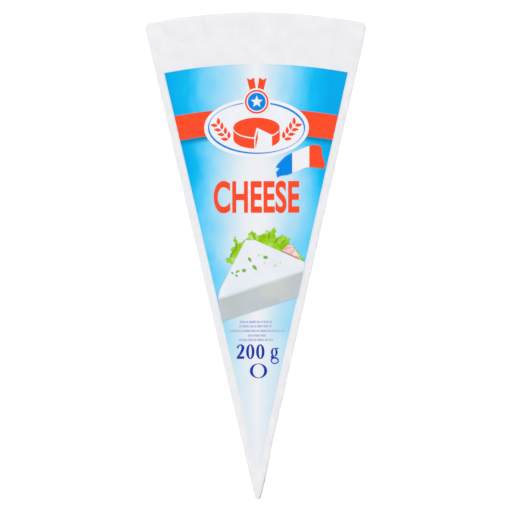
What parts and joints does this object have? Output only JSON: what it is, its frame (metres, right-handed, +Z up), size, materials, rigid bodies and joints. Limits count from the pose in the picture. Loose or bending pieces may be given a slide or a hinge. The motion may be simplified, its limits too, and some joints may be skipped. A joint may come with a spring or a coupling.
{
  "type": "wrapped brie wedge",
  "caption": "Long thin point of soft cheese in white folded paper, with a blue printed label on top; lies flat to store or display.",
  "frame": {"origin": "middle of the pack's length and width, on its lowest face, where it rests on a surface", "axes": "+X to the right across the pack, +Y along it from the thin tip to the curved heel, +Z up out of the labelled face"},
  "size_m": [0.0762, 0.168, 0.0315],
  "materials": {
    "cheese": "matte",
    "wrapper": "satin",
    "front_label": "satin",
    "back_label": "satin"
  },
  "bodies": {
    "root": {"cheese_wedge": "cheese", "paper_wrapper": "wrapper", "front_label": "front_label", "back_label": "back_label"}
  },
  "joints": []
}
